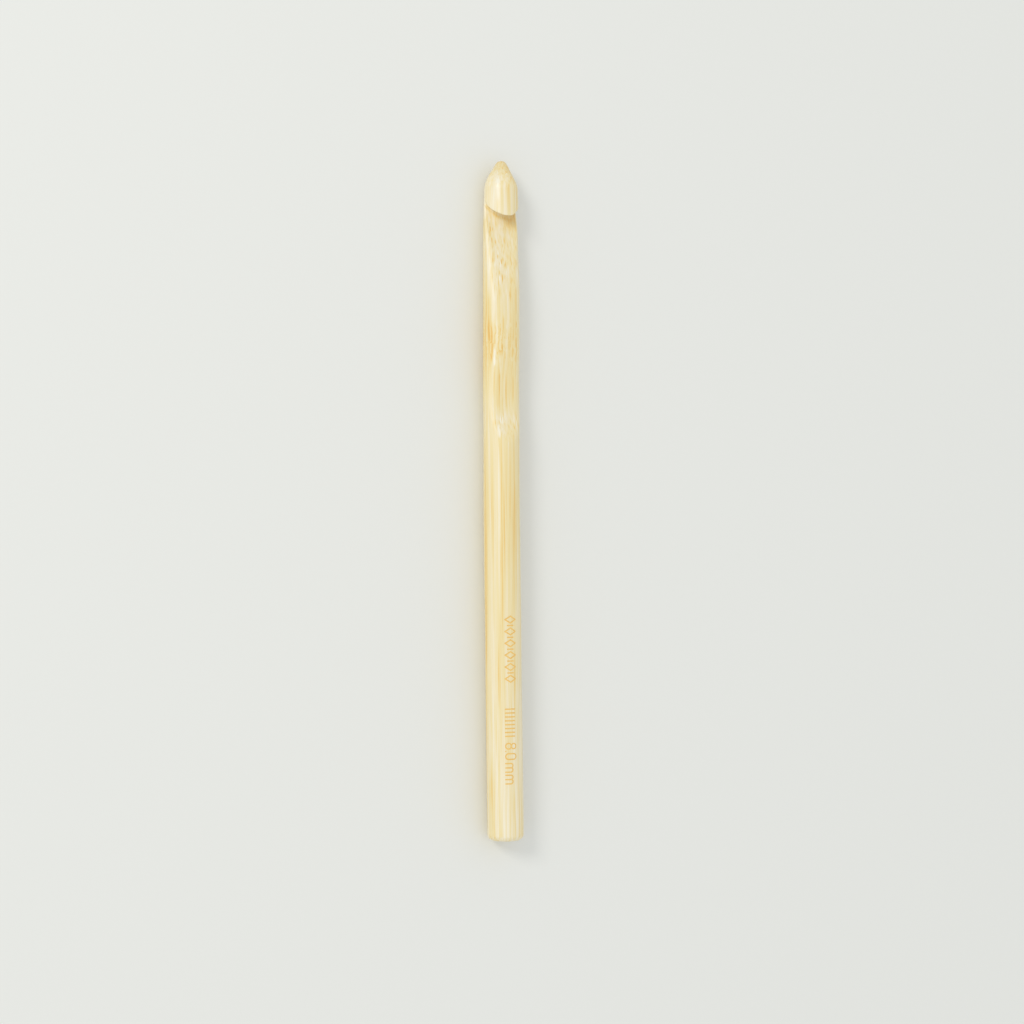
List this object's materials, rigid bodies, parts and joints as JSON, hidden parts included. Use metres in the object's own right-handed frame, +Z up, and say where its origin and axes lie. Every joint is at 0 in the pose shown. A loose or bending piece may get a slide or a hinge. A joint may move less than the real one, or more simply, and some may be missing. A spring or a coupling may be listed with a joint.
{
  "type": "crochet hook",
  "caption": "Straight round bamboo hook with a tapered point, an undercut throat for yarn, a shallow thumb rest, a smooth round handle and two rows of light scorched marks.",
  "frame": {"origin": "under the middle of the stick, on the surface that it lies on", "axes": "+X along the stick from the butt to the tip, +Z up through the throat's opening and the marks, +Y across the stick"},
  "size_m": [0.15, 0.008, 0.008],
  "materials": {
    "bamboo": "clear satin over straight pale bamboo fibre",
    "scorched_bamboo": "matt, lightly scorched amber-brown at the bottom of shallow grooves"
  },
  "bodies": {
    "root": {"hook_body": "bamboo", "ornament_mark": "scorched_bamboo", "size_mark": "scorched_bamboo"}
  },
  "joints": []
}
